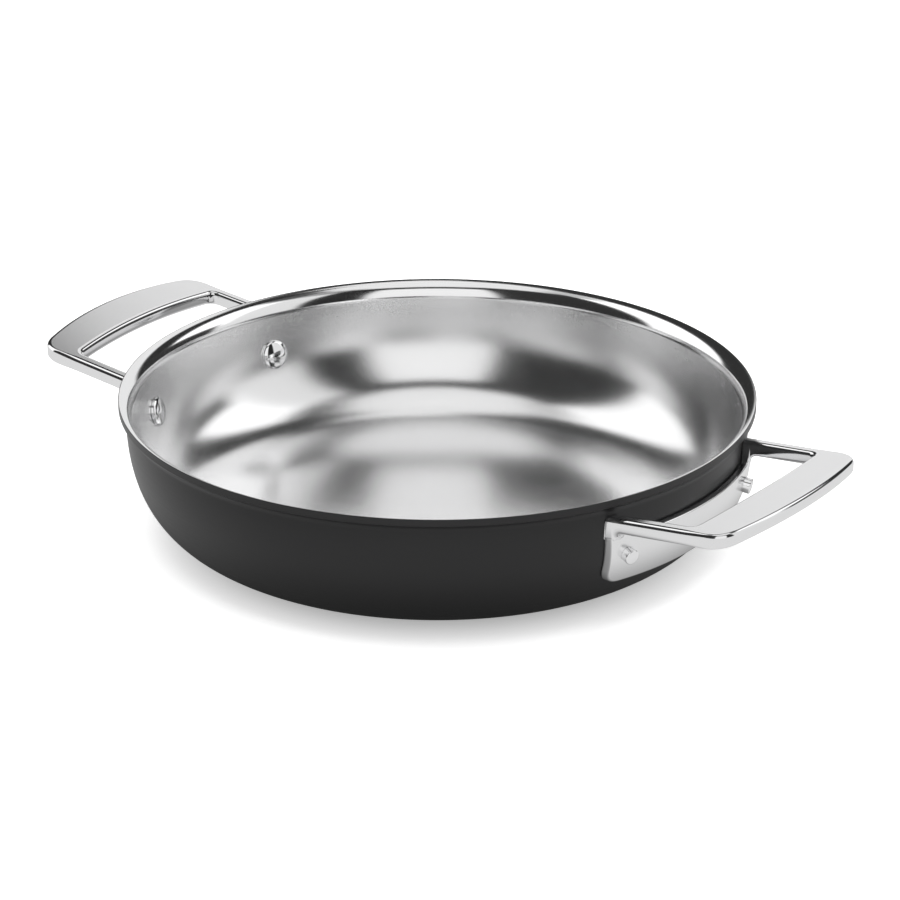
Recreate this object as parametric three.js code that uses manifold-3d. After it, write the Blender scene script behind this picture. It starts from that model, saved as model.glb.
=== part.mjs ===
// Two-handled frying pan: a bonded three-layer bowl with a flared lip, and two cast steel
// loop handles, each held to the wall by two rivets.
// Millimetres, +Z up. The origin is the centre of the base, and the handles lie along X.
import * as THREE from "three";
import { mergeVertices } from "three/addons/utils/BufferGeometryUtils.js";
import Module from "manifold-3d";

const wasm = await Module();
wasm.setup();

// Bowl
const RIM_RADIUS = 140; // outermost edge of the lip
const PAN_HEIGHT = 63.3; // table to top of lip
const BASE_RADIUS = 92; // flat of the base
const CORNER_RUN = 35; // how far the base sweeps out before it turns up
const WALL_RUN = 27.6; // how far the wall stays nearly upright below the lip
const WALL_LEAN = THREE.MathUtils.degToRad(1); // lean of the wall just below the lip
const LIP_FLARE = 3.15; // how far the lip stands out from the wall
const LIP_BEND = 4.9; // radius of the bend between wall and lip, on its outside
const LIP_ANGLE = THREE.MathUtils.degToRad(76); // how far the lip turns outwards
const EDGE_CHAMFER = 0.1; // broken corners of the lip's upright edge
const EDGE_COVER = 0.8; // anodised metal that closes the core's edge at the lip
const EDGE_HEM = 0.25; // anodised metal that closes the liner's edge

// Layers of the bonded sheet, from outside to inside
const SHELL_THICKNESS = 1; // hard-anodised aluminium alloy
const CORE_THICKNESS = 1.5; // pure aluminium
const LINER_THICKNESS = 0.5; // stainless steel
const BOND_GAP = 0.05; // bond line between two layers

// Handle
const GRIP_REACH = 190.6; // pan axis to the outer edge of the grip
const GRIP_WIDTH = 22; // inner to outer edge of the grip, at its middle
const GRIP_INNER_CURVE = 340; // radius of the grip's inner edge
const ROOT_HALF_WIDTH = 54.4; // centre line to the outside of the arms, at the wall
const ARM_TAPER = 0.6; // how much the arms close in on the centre line, from wall to grip
const ARM_WIDTH = 6.3;
const HANDLE_THICKNESS = 6.8;
const HANDLE_ROUNDING = 2; // rounded edges of the loop
const OUTER_CORNER = 9; // rounding of the grip's outer corners
const INNER_CORNER = 3.5; // rounding of the grip's inner corners
const ROOT_TOP = 54.4; // height of the arms' top where they meet the wall
const HANDLE_SLOPE = 0.1; // rise of the handle for each millimetre outwards
const GRIP_CROWN = 1.8; // how much higher the grip's middle is than its ends

// Bracket, the curved plate at the root of the handle
const BRACKET_THICKNESS = 3.4;
const BRACKET_TAPER = 3.2; // how far its lower corners stand in from the arms' outside
const BRACKET_BOTTOM = 22.2; // height of its lower edge
const BRACKET_TOP = 45.5; // height of its upper edge, between the arms
const BRACKET_CORNER = 6.5; // rounding of its lower corners
const BRACKET_NECK = 4; // rounding between its upper edge and the arms
const ARM_FILLET = 3.6; // rounding between the bracket's face and the arms above it

// Rivets
const RIVET_HEIGHT = 37; // where a rivet's axis crosses the outside of the wall
const RIVET_INSET = 10.45; // outside of the arms to a rivet's axis
const HEAD_DIAMETER = 13.3;
const HEAD_EDGE = 0.6; // upright edge of the head, below its dome
const HEAD_DOME = 2;
const SHANK_DIAMETER = 5.2;
const TAIL_DIAMETER = 6.8;
const TAIL_HEIGHT = 3.5;
const TAIL_CHAMFER = 0.5;

// Clearances
const SEAT_GAP = 0.3; // between a piece and the one it is clamped to
const HOLE_CLEARANCE = 0.3; // between a shank and its hole, all round

// Facets
const BOWL_SEGMENTS = 48;
const BRACKET_SEGMENTS = 96;
const RIVET_SEGMENTS = 12;
const WALL_STEPS = 7;
const LIP_STEPS = 6;
const WELD = 1e-4; // vertices closer than this are one

const SHEET_THICKNESS = SHELL_THICKNESS + CORE_THICKNESS + LINER_THICKNESS + 2 * BOND_GAP;
const CORE_DEPTH = SHELL_THICKNESS + BOND_GAP;
const LINER_DEPTH = CORE_DEPTH + CORE_THICKNESS + BOND_GAP;
const WALL_RADIUS = RIM_RADIUS - LIP_FLARE;
const INNER_BEND = LIP_BEND + SHEET_THICKNESS;
const INNER_FLARE = LIP_FLARE - LIP_BEND + INNER_BEND * Math.cos(LIP_ANGLE); // past the bend
const CORNER_HALF_WIDTH = ROOT_HALF_WIDTH - ARM_TAPER;
const BRACKET_HALF_WIDTH = ROOT_HALF_WIDTH - BRACKET_TAPER;
const WALL_TOP = PAN_HEIGHT - INNER_BEND * Math.sin(LIP_ANGLE) - INNER_FLARE / Math.tan(LIP_ANGLE);

const STEEL = { color: 0xd4d4d6, roughness: 0.15, metalness: 1 };
const SATIN_STEEL = { color: 0xc4c4c6, roughness: 0.35, metalness: 1 };
const ALUMINIUM = { color: 0xb9bbbd, roughness: 0.5, metalness: 1 };
const ANODISED = { color: 0x38383a, roughness: 0.6, metalness: 0.4 };

// Solids

function toSolid(geometry) {
  const loose = geometry.index ? geometry.toNonIndexed() : geometry;
  const bare = new THREE.BufferGeometry().setAttribute("position", loose.getAttribute("position"));
  const merged = mergeVertices(bare, WELD);
  const corners = merged.index.array;
  const kept = [];
  for (let i = 0; i < corners.length; i += 3) {
    const [a, b, c] = corners.slice(i, i + 3);
    if (a !== b && b !== c && c !== a) kept.push(a, b, c);
  }
  return new wasm.Manifold(
    new wasm.Mesh({
      numProp: 3,
      vertProperties: merged.getAttribute("position").array,
      triVerts: new Uint32Array(kept),
    }),
  );
}

function toGeometry(solid) {
  const { vertProperties, triVerts, numProp } = solid.getMesh();
  const points = new Float32Array((vertProperties.length / numProp) * 3);
  for (let i = 0; i * numProp < vertProperties.length; i++) {
    points.set(vertProperties.subarray(i * numProp, i * numProp + 3), i * 3);
  }
  const geometry = new THREE.BufferGeometry();
  geometry.setAttribute("position", new THREE.BufferAttribute(points, 3));
  geometry.setIndex(new THREE.BufferAttribute(triVerts, 1));
  geometry.computeVertexNormals();
  return geometry;
}

// A profile of radius and height, turned about Z.
function revolve(profile, segments) {
  return toSolid(new THREE.LatheGeometry(profile, segments).rotateX(Math.PI / 2));
}

function named(name, geometry, finish) {
  const mesh = new THREE.Mesh(geometry, new THREE.MeshStandardMaterial(finish));
  mesh.name = name;
  return mesh;
}

// Bowl profile. A depth is measured from the outside of the sheet towards its inside,
// so a negative depth lies outside the pan.

const wallCurve = new THREE.CubicBezierCurve(
  new THREE.Vector2(BASE_RADIUS, 0),
  new THREE.Vector2(BASE_RADIUS + CORNER_RUN, 0),
  new THREE.Vector2(
    WALL_RADIUS - WALL_RUN * Math.sin(WALL_LEAN),
    WALL_TOP - WALL_RUN * Math.cos(WALL_LEAN),
  ),
  new THREE.Vector2(WALL_RADIUS, WALL_TOP),
);

function wallPoint(t, depth) {
  const along = wallCurve.getTangent(t);
  return wallCurve.getPoint(t).add(new THREE.Vector2(-along.y, along.x).multiplyScalar(depth));
}

function wallLine(depth, from = 0, to = 1) {
  const count = Math.max(2, Math.round(WALL_STEPS * (to - from)));
  return Array.from({ length: count + 1 }, (_, i) => wallPoint(from + ((to - from) * i) / count, depth));
}

// The wall curve's parameter at a height on the outside of the sheet.
function wallParameter(height) {
  let low = 0;
  let high = 1;
  while (high - low > 1e-9) {
    const middle = (low + high) / 2;
    if (wallCurve.getPoint(middle).y < height) low = middle;
    else high = middle;
  }
  return low;
}

function bendPoint(angle, depth) {
  const radius = LIP_BEND + depth;
  return new THREE.Vector2(
    WALL_RADIUS + LIP_BEND - radius * Math.cos(angle),
    WALL_TOP + radius * Math.sin(angle),
  );
}

// How far the bend turns at a depth: it stops early where a short lip leaves no room for it.
function bendEnd(inset, depth) {
  const room = (WALL_RADIUS + LIP_BEND - RIM_RADIUS + inset) / (LIP_BEND + depth);
  return Math.min(LIP_ANGLE, Math.acos(THREE.MathUtils.clamp(room, -1, 1)));
}

// The straight part of the lip, at a distance in from the upright cut edge.
function lipPoint(inset, depth) {
  const start = bendPoint(bendEnd(inset, depth), depth);
  const radius = RIM_RADIUS - inset;
  return new THREE.Vector2(radius, start.y + (radius - start.x) / Math.tan(LIP_ANGLE));
}

// The sheet at one depth, from the axis out to a distance in from the cut edge.
function skin(depth, inset) {
  const line = [new THREE.Vector2(0, depth), ...wallLine(depth)];
  const end = bendEnd(inset, depth);
  for (let i = 1; i <= LIP_STEPS; i++) line.push(bendPoint((end * i) / LIP_STEPS, depth));
  return [...line, lipPoint(inset, depth)];
}

function rivetHoles() {
  const holes = RIVET_PLACES.map(({ turn }) => {
    const radius = SHANK_DIAMETER / 2 + HOLE_CLEARANCE;
    const drill = new THREE.CylinderGeometry(radius, radius, 4 * BRACKET_THICKNESS, RIVET_SEGMENTS);
    drill.rotateX(Math.PI / 2);
    return toSolid(drill.applyMatrix4(rivetPose(turn)));
  });
  return holes.reduce((all, hole) => all.add(hole));
}

function bowlLayer(profile) {
  return toGeometry(revolve(profile, BOWL_SEGMENTS).subtract(rivetHoles()));
}

// Steel liner, whose lip ends at the shell's hem.
function steelLiner() {
  const under = skin(LINER_DEPTH, EDGE_HEM + BOND_GAP);
  const over = skin(SHEET_THICKNESS, EDGE_HEM + BOND_GAP);
  return named("steel_liner", bowlLayer([...under, ...over.reverse()]), SATIN_STEEL);
}

// Core, closed in at the lip by the shell.
function aluminiumCore() {
  const under = skin(CORE_DEPTH, EDGE_COVER + BOND_GAP);
  const over = skin(CORE_DEPTH + CORE_THICKNESS, EDGE_COVER + BOND_GAP);
  return named("aluminium_core", bowlLayer([...under, ...over.reverse()]), ALUMINIUM);
}

// Shell, which carries on round the core's edge and ends in a hem round the liner's.
function anodisedShell() {
  const outside = skin(0, EDGE_CHAMFER);
  const edge = [
    lipPoint(0, EDGE_CHAMFER),
    lipPoint(0, SHEET_THICKNESS - EDGE_CHAMFER),
    lipPoint(EDGE_CHAMFER, SHEET_THICKNESS),
    lipPoint(EDGE_HEM, SHEET_THICKNESS),
    lipPoint(EDGE_HEM, LINER_DEPTH - BOND_GAP),
    lipPoint(EDGE_COVER, LINER_DEPTH - BOND_GAP),
  ];
  const inside = skin(SHELL_THICKNESS, EDGE_COVER);
  return named("anodised_shell", bowlLayer([...outside, ...edge, ...inside.reverse()]), ANODISED);
}

// Handle. It is made on the +X side.

// The loop seen from above: a U, open towards the pan.
function loopOutline() {
  const rootX = WALL_RADIUS - ROOT_HALF_WIDTH / 2; // well inside the wall, which trims it
  const gripX = (y) => Math.sqrt(GRIP_REACH ** 2 - y ** 2);
  const flare = (CORNER_HALF_WIDTH - ROOT_HALF_WIDTH) / (gripX(CORNER_HALF_WIDTH) - WALL_RADIUS);
  const armY = (x) => ROOT_HALF_WIDTH + flare * (x - WALL_RADIUS);
  const innerCentre = GRIP_REACH - GRIP_WIDTH - GRIP_INNER_CURVE;
  const innerX = (y) => innerCentre + Math.sqrt(GRIP_INNER_CURVE ** 2 - y ** 2);
  const cornerX = gripX(CORNER_HALF_WIDTH);
  const cornerStart = cornerX - OUTER_CORNER;
  const innerY = armY(innerX(CORNER_HALF_WIDTH)) - ARM_WIDTH;
  const outerTurn = CORNER_HALF_WIDTH - OUTER_CORNER;
  const innerTurn = innerY - INNER_CORNER;
  const steps = 8;

  const outline = new THREE.Shape();
  outline.moveTo(rootX, -armY(rootX));
  outline.lineTo(cornerStart, -armY(cornerStart));
  outline.quadraticCurveTo(cornerX, -CORNER_HALF_WIDTH, gripX(outerTurn), -outerTurn);
  for (let i = 1; i <= steps; i++) {
    const y = -outerTurn + (2 * outerTurn * i) / steps;
    outline.lineTo(gripX(y), y);
  }
  outline.quadraticCurveTo(cornerX, CORNER_HALF_WIDTH, cornerStart, armY(cornerStart));
  outline.lineTo(rootX, armY(rootX));
  outline.lineTo(rootX, armY(rootX) - ARM_WIDTH);
  const armEnd = innerX(innerY) - INNER_CORNER;
  outline.lineTo(armEnd, armY(armEnd) - ARM_WIDTH);
  outline.quadraticCurveTo(innerX(innerY), innerY, innerX(innerTurn), innerTurn);
  for (let i = 1; i <= steps; i++) {
    const y = innerTurn - (2 * innerTurn * i) / steps;
    outline.lineTo(innerX(y), y);
  }
  outline.quadraticCurveTo(innerX(innerY), -innerY, armEnd, -(armY(armEnd) - ARM_WIDTH));
  outline.lineTo(rootX, -(armY(rootX) - ARM_WIDTH));
  outline.closePath();
  return outline;
}

// Height of the loop's top face: it climbs outwards, and its middle is crowned.
function loopTop(x, y) {
  const rootX = Math.sqrt(WALL_RADIUS ** 2 - ROOT_HALF_WIDTH ** 2);
  return ROOT_TOP + HANDLE_SLOPE * (x - rootX) + GRIP_CROWN * (1 - (y / CORNER_HALF_WIDTH) ** 2);
}

function handleLoop() {
  const bar = new THREE.ExtrudeGeometry(loopOutline(), {
    depth: HANDLE_THICKNESS - 2 * HANDLE_ROUNDING,
    curveSegments: 4,
    bevelEnabled: true,
    bevelThickness: HANDLE_ROUNDING,
    bevelSize: HANDLE_ROUNDING,
    bevelOffset: -HANDLE_ROUNDING,
    bevelSegments: 2,
  });
  const place = bar.getAttribute("position");
  for (let i = 0; i < place.count; i++) {
    const drop = place.getZ(i) + HANDLE_ROUNDING - HANDLE_THICKNESS;
    place.setZ(i, loopTop(place.getX(i), place.getY(i)) + drop);
  }
  return toSolid(bar);
}

// A band that follows the outside of the wall, between two distances from it.
function wallBand(near, far) {
  const from = wallParameter(BRACKET_BOTTOM / 2);
  const band = [...wallLine(-far, from), ...wallLine(-near, from).reverse()];
  return revolve([...band, band[0]], BRACKET_SEGMENTS);
}

// The bracket seen from outside: rounded lower corners, and a horn up to each arm.
function bracketOutline() {
  const neckY = ROOT_HALF_WIDTH - ARM_WIDTH;
  const hornTop = ROOT_TOP - HANDLE_ROUNDING;
  const side = (z) =>
    THREE.MathUtils.mapLinear(z, BRACKET_BOTTOM, BRACKET_TOP, BRACKET_HALF_WIDTH, ROOT_HALF_WIDTH);
  const cornerTop = BRACKET_BOTTOM + BRACKET_CORNER;
  const cornerY = BRACKET_HALF_WIDTH - BRACKET_CORNER;
  const outline = new THREE.Shape();
  outline.moveTo(-cornerY, BRACKET_BOTTOM);
  outline.lineTo(cornerY, BRACKET_BOTTOM);
  outline.quadraticCurveTo(BRACKET_HALF_WIDTH, BRACKET_BOTTOM, side(cornerTop), cornerTop);
  outline.lineTo(ROOT_HALF_WIDTH, BRACKET_TOP);
  outline.lineTo(ROOT_HALF_WIDTH, hornTop);
  outline.lineTo(neckY, hornTop);
  outline.quadraticCurveTo(neckY, BRACKET_TOP, neckY - BRACKET_NECK, BRACKET_TOP);
  outline.lineTo(-neckY + BRACKET_NECK, BRACKET_TOP);
  outline.quadraticCurveTo(-neckY, BRACKET_TOP, -neckY, hornTop);
  outline.lineTo(-ROOT_HALF_WIDTH, hornTop);
  outline.lineTo(-ROOT_HALF_WIDTH, BRACKET_TOP);
  outline.lineTo(-side(cornerTop), cornerTop);
  outline.quadraticCurveTo(-BRACKET_HALF_WIDTH, BRACKET_BOTTOM, -cornerY, BRACKET_BOTTOM);
  return outline;
}

// An outline in Y and Z, carried along X through the near side of the wall.
function carriedAlongX(outline) {
  const block = new THREE.ExtrudeGeometry(outline, {
    depth: WALL_RADIUS,
    curveSegments: 5,
    bevelEnabled: false,
  });
  block.rotateX(Math.PI / 2).rotateZ(Math.PI / 2);
  return toSolid(block.translate(WALL_RADIUS / 4, 0, 0));
}

function bracketPlate() {
  return wallBand(SEAT_GAP, SEAT_GAP + BRACKET_THICKNESS).intersect(carriedAlongX(bracketOutline()));
}

// The rounding under both arms, where they leave the bracket's face.
function armFillets() {
  const under = ROOT_TOP - HANDLE_THICKNESS + HANDLE_ROUNDING;
  const face = wallPoint(wallParameter(under - ARM_FILLET), -SEAT_GAP - BRACKET_THICKNESS).x;
  const ring = new THREE.Path();
  ring.moveTo(face - BRACKET_THICKNESS / 2, under - ARM_FILLET);
  ring.lineTo(face, under - ARM_FILLET);
  ring.absarc(face + ARM_FILLET, under - ARM_FILLET, ARM_FILLET, Math.PI, Math.PI / 2, true);
  ring.lineTo(face + ARM_FILLET, under + HANDLE_ROUNDING);
  ring.lineTo(face - BRACKET_THICKNESS / 2, under + HANDLE_ROUNDING);
  ring.closePath();
  const sides = [-1, 1].map((side) => {
    const strip = new THREE.Shape();
    strip.moveTo(side * (ROOT_HALF_WIDTH - ARM_WIDTH), BRACKET_BOTTOM);
    strip.lineTo(side * ROOT_HALF_WIDTH, BRACKET_BOTTOM);
    strip.lineTo(side * ROOT_HALF_WIDTH, ROOT_TOP);
    strip.lineTo(side * (ROOT_HALF_WIDTH - ARM_WIDTH), ROOT_TOP);
    return carriedAlongX(strip);
  });
  return revolve(ring.getPoints(4), BRACKET_SEGMENTS).intersect(sides[0].add(sides[1]));
}

// What the pan takes up, with its seat gap, so that the arms end against the wall.
function wallClearance() {
  const line = wallLine(-SEAT_GAP);
  return revolve(
    [new THREE.Vector2(0, -SEAT_GAP), ...line, new THREE.Vector2(0, line[line.length - 1].y)],
    BRACKET_SEGMENTS,
  );
}

function handle(name, turn) {
  const loop = handleLoop().subtract(wallClearance());
  const whole = loop.add(bracketPlate()).add(armFillets()).subtract(rivetHoles());
  const mesh = named(name, toGeometry(whole), STEEL);
  mesh.rotation.z = turn;
  return mesh;
}

// Rivets. Their angle is measured from the handle's centre line.

const RIVET_ANGLE = Math.asin(
  (ROOT_HALF_WIDTH - RIVET_INSET) / wallCurve.getPoint(wallParameter(RIVET_HEIGHT)).x,
);

const RIVET_PLACES = [
  { name: "rivet_right_front", turn: -RIVET_ANGLE },
  { name: "rivet_right_back", turn: RIVET_ANGLE },
  { name: "rivet_left_back", turn: Math.PI - RIVET_ANGLE },
  { name: "rivet_left_front", turn: Math.PI + RIVET_ANGLE },
];

// A rivet's frame: its origin is on the outside of the wall, and its Z axis points
// squarely out of the wall.
function rivetPose(turn) {
  const t = wallParameter(RIVET_HEIGHT);
  const along = wallCurve.getTangent(t);
  const foot = wallCurve.getPoint(t);
  const tilt = Math.atan2(along.y, -along.x);
  return new THREE.Matrix4()
    .makeRotationZ(turn)
    .multiply(new THREE.Matrix4().makeTranslation(foot.x, 0, foot.y))
    .multiply(new THREE.Matrix4().makeRotationY(tilt));
}

// How far the wall's hollow face stands in from a flat head's rim.
function headStandOff() {
  const pose = rivetPose(0);
  const inner = wallLine(SHEET_THICKNESS);
  let most = 0;
  for (let i = 0; i < RIVET_SEGMENTS; i++) {
    const a = (2 * Math.PI * i) / RIVET_SEGMENTS;
    const rim = new THREE.Vector3(Math.cos(a), Math.sin(a), 0).multiplyScalar(HEAD_DIAMETER / 2);
    rim.z = -SHEET_THICKNESS;
    rim.applyMatrix4(pose);
    const next = inner.findIndex((p) => p.y >= rim.z);
    const [low, high] = [inner[next - 1], inner[next]];
    const wall = THREE.MathUtils.mapLinear(rim.z, low.y, high.y, low.x, high.x);
    most = Math.max(most, Math.hypot(rim.x, rim.y) - wall);
  }
  return most;
}

function rivet({ name, turn }) {
  const seat = SHEET_THICKNESS + headStandOff() + SEAT_GAP;
  const clamp = 2 * SEAT_GAP + BRACKET_THICKNESS;
  const dome = new THREE.EllipseCurve(0, -seat - HEAD_EDGE, HEAD_DIAMETER / 2, HEAD_DOME, -Math.PI / 2, 0);
  const profile = [
    ...dome.getPoints(4),
    new THREE.Vector2(HEAD_DIAMETER / 2, -seat),
    new THREE.Vector2(SHANK_DIAMETER / 2, -seat),
    new THREE.Vector2(SHANK_DIAMETER / 2, clamp),
    new THREE.Vector2(TAIL_DIAMETER / 2, clamp),
    new THREE.Vector2(TAIL_DIAMETER / 2, clamp + TAIL_HEIGHT - TAIL_CHAMFER),
    new THREE.Vector2(TAIL_DIAMETER / 2 - TAIL_CHAMFER, clamp + TAIL_HEIGHT),
    new THREE.Vector2(0, clamp + TAIL_HEIGHT),
  ];
  profile[0].x = 0;
  const mesh = named(name, toGeometry(revolve(profile, RIVET_SEGMENTS)), STEEL);
  mesh.applyMatrix4(rivetPose(turn));
  return mesh;
}

const pan = new THREE.Group();
pan.add(steelLiner(), aluminiumCore(), anodisedShell());
pan.add(handle("right_handle", 0), handle("left_handle", Math.PI));
pan.add(...RIVET_PLACES.map(rivet));

export default pan;
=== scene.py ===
"""Looks of a two-handled frying pan: a clad bowl with a flared lip, and two riveted loop handles.

Each piece is a smooth surface, in metres, that stands for the solid of the same name.
"""

import math

import bmesh
import bpy
import numpy as np
from mathutils import Matrix, Vector


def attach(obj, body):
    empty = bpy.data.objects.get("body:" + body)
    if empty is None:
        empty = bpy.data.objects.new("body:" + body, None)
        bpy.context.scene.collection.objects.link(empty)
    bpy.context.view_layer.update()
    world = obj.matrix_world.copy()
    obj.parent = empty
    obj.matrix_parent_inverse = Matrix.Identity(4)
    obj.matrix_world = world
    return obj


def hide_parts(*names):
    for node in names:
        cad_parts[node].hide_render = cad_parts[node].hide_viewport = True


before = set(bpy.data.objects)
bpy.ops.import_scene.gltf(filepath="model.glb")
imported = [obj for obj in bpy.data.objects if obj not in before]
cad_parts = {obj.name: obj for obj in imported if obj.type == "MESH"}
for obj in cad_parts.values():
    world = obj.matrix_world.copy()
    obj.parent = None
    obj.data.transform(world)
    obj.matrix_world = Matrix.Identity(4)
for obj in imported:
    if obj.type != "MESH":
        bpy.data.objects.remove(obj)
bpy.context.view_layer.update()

bl_info = {
    "name": "Two-handled frying pan",
    "version": (1, 0, 0),
    "blender": (4, 5, 0),
    "location": "View3D > Sidebar > Pan",
    "description": "Builds the smooth pieces of a clad frying pan and the studio round it",
    "category": "Object",
}

BODY = "root"

# Facets round the axis of the bowl and of a rivet, and along the profile of the sheet
TURN_STEPS = 384
CORE_STEPS = 192
RIVET_STEPS = 64
FLAT_STEPS = 4
WALL_STEPS = 44
BEND_STEPS = 24

# Facets of a handle. An arm has finer steps over the first part of its run, where it grows into the
# bracket. The flats are places across a face, from -1 at one rounded edge to 1 at the other.
ARM_ROOT_RUN = 0.018
ARM_ROOT_STEPS = 60
ARM_STEPS = 16
LOOP_CORNER_POINTS = 49
GRIP_STEPS = 40
FILLET_STEPS = 7
LOOP_FLATS = np.array([-0.96, -0.6, -0.2, 0.2, 0.6, 0.96])
PLATE_SIDE_POINTS = 24
PLATE_BOTTOM_POINTS = 60
PLATE_FLATS = np.linspace(-0.98, 0.98, 24)

# Facets of a rivet's dome and of its tail's rounded edge
DOME_POINTS = 20
TAIL_EDGE_POINTS = 6

# Points along the wall among which a radius or a rivet's place is looked up
WALL_SEARCH_POINTS = 400
RIVET_SEARCH_POINTS = 4001

SHARP_ANGLE = math.radians(32)
SAME_POINT = 1e-7

# Grain of each bare metal: noise cells in a metre, and the depth of its bumps in metres
LINER_GRAIN = (1500.0, 0.00003)
CORE_GRAIN = (900.0, 0.00001)
HANDLE_GRAIN = (2000.0, 0.000004)
RIVET_GRAIN = (900.0, 0.000001)
GRAIN_DETAIL = 2.0
GRAIN_DECAY = 0.6

# Soft clouds over the bare metals, and the turning rings and pores of the anodised skin
CLOUD_SCALE = 40.0
CLOUD_DETAIL = 3.0
RING_SCALE = 900.0
RING_DETAIL = 3.0
PORE_SCALE = 2200.0
PORE_DETAIL = 2.0
PORE_RELIEF = 0.6
ANODISED_DEPTH = 0.00001

# How far each noise swings the roughness, about the noise's middle value
GRAIN_SWING = 0.10
CLOUD_SWING = 0.05
RING_SWING = 0.08
PORE_SWING = 0.06
NOISE_MIDDLE = 0.5
NOISE_DECAY = 0.5

WHITE = (1.0, 1.0, 1.0, 1.0)
FLOOR_HALF = 8.0
SENSOR_WIDTH = 36.0

# Cards that only reflections show, on a dome round the pan. Each has its span of degrees to the right
# of the camera, its span of degrees above the floor, and its brightness. The first ones lie in front.
STUDIO_CARDS = {
    "front_left_flag": ((-91, -21), (0, 68), 0.03),
    "front_upper_flag": ((-35, 57), (51, 67), 0.02),
    "front_right_flag": ((26, 58), (0, 66), 0.02),
    "right_front_upper_flag": ((46, 88), (56, 71), 0.3),
    "right_low_flag": ((92, 145), (0, 25), 0.03),
    "right_back_flag": ((121, 151), (0, 70), 0.02),
    "right_upper_flag": ((84, 152), (56, 73), 0.08),
    "back_upper_flag": ((138, 192), (48, 65), 0.03),
    "back_left_flag": ((-176, -131), (0, 71), 0.03),
    "back_flag": ((166, 196), (43, 66), 0.03),
    "left_upper_flag": ((-132, -78), (59, 73), 0.5),
    "left_softbox": ((-139, -82), (2, 66), 1.18),
    "right_softbox": ((85, 130), (14, 60), 1.22),
    "right_front_softbox": ((50, 96), (0, 60), 0.8),
    "front_softbox": ((-40, 50), (0, 56), 0.93),
    "back_softbox": ((115, 198), (0, 66), 0.85),
    "overhead_softbox": ((-190, 190), (56, 90), 0.86),
}
# Metres to the nearest card and from each card to the next, and degrees over which an edge fades
CARD_DISTANCE = 3.0
CARD_SPACING = 0.02
CARD_EDGE = 5.0
CARD_POINTS = 41


# Settings


def length(name, description, default):
    """A size in metres."""
    return bpy.props.FloatProperty(
        name=name, description=description, default=default, unit="LENGTH", precision=5
    )


def angle(name, description, degrees):
    """An angle, whose default is given in degrees."""
    return bpy.props.FloatProperty(
        name=name,
        description=description,
        default=math.radians(degrees),
        unit="ROTATION",
        subtype="ANGLE",
    )


def share(name, description, default, largest=1.0):
    """A number from 0, such as a roughness."""
    return bpy.props.FloatProperty(
        name=name, description=description, default=default, min=0.0, max=largest
    )


def levels(name, description, default):
    """Two levels from 0 to 1, near and far."""
    return bpy.props.FloatVectorProperty(
        name=name, description=description, default=default, size=2, min=0.0, max=1.0
    )


def colour(name, description, default):
    """A linear colour."""
    return bpy.props.FloatVectorProperty(
        name=name, description=description, default=default, size=3, min=0.0, max=1.0, subtype="COLOR"
    )


class PAN_PG_bowl(bpy.types.PropertyGroup):
    """Sizes of the bowl and of the layers of its sheet"""

    rim_radius: length("Rim radius", "Axis to the outermost edge of the lip", 0.140)
    height: length("Height", "Table to the top of the lip", 0.0633)
    base_radius: length("Base radius", "Flat of the base", 0.088)
    corner_run: length("Corner run", "How far the base sweeps out before it turns up", 0.046)
    wall_run: length("Wall run", "How far the wall stays nearly upright below the lip", 0.017)
    wall_lean: angle("Wall lean", "Lean of the wall just below the lip", 0.0)
    lip_flare: length("Lip flare", "How far the lip stands out from the wall", 0.00315)
    lip_bend: length("Lip bend", "Outside radius of the bend between wall and lip", 0.0049)
    lip_angle: angle("Lip angle", "How far the lip turns outwards", 76.0)
    edge_chamfer: length("Edge chamfer", "Broken corners of the lip's upright edge", 0.0001)
    edge_cover: length("Edge cover", "Shell metal that closes the core's edge", 0.0008)
    edge_hem: length("Edge hem", "Shell metal that closes the liner's edge", 0.00025)
    shell: length("Shell thickness", "Hard-anodised outer layer", 0.0010)
    core: length("Core thickness", "Aluminium middle layer", 0.0015)
    liner: length("Liner thickness", "Steel inner layer", 0.0005)
    bond: length("Bond gap", "Bond line between two layers", 0.00005)


class PAN_PG_handle(bpy.types.PropertyGroup):
    """Sizes of a handle: its loop, and the bracket at its root"""

    reach: length("Grip reach", "Pan axis to the outer edge of the grip", 0.1906)
    grip_width: length("Grip width", "Inner to outer edge of the grip, at its middle", 0.022)
    inner_curve: length("Inner curve", "Radius of the grip's inner edge", 0.340)
    corner_half: length("Half width at the grip", "Centre line to the outside of the arms", 0.0538)
    root_half: length("Half width at the wall", "Centre line to the outside of the arms", 0.0544)
    arm_width: length("Arm width", "Width of an arm, seen from above", 0.0063)
    thickness: length("Thickness", "Thickness of the loop", 0.0068)
    rounding: length("Rounding", "Rounded edges of the loop", 0.0020)
    outer_corner: length("Outer corner", "Rounding of the grip's outer corners", 0.009)
    inner_corner: length("Inner corner", "Rounding of the grip's inner corners", 0.0035)
    root_top: length("Root top", "Height of the arms' top at the wall", 0.0544)
    slope: share("Slope", "Rise of the handle for each metre outwards", 0.1)
    crown: length("Crown", "How much higher the grip's middle is than its ends", 0.0018)
    plate: length("Bracket thickness", "Thickness of the curved plate", 0.0034)
    plate_half: length("Bracket half width", "Centre line to its lower corners", 0.0512)
    plate_bottom: length("Bracket bottom", "Height of its lower edge", 0.0222)
    plate_top: length("Bracket top", "Height of its upper edge, between the arms", 0.0455)
    plate_corner: length("Bracket corner", "Rounding of its lower corners", 0.0065)
    plate_neck: length("Bracket neck", "Rounding between its upper edge and the arms", 0.004)
    plate_edge: length("Bracket edge", "Rounding of its front edges", 0.0008)
    arm_fillet: length("Arm fillet", "Rounding between the bracket's face and the arms", 0.0036)
    seat_gap: length("Seat gap", "Between the handle and the wall", 0.0003)


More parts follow.
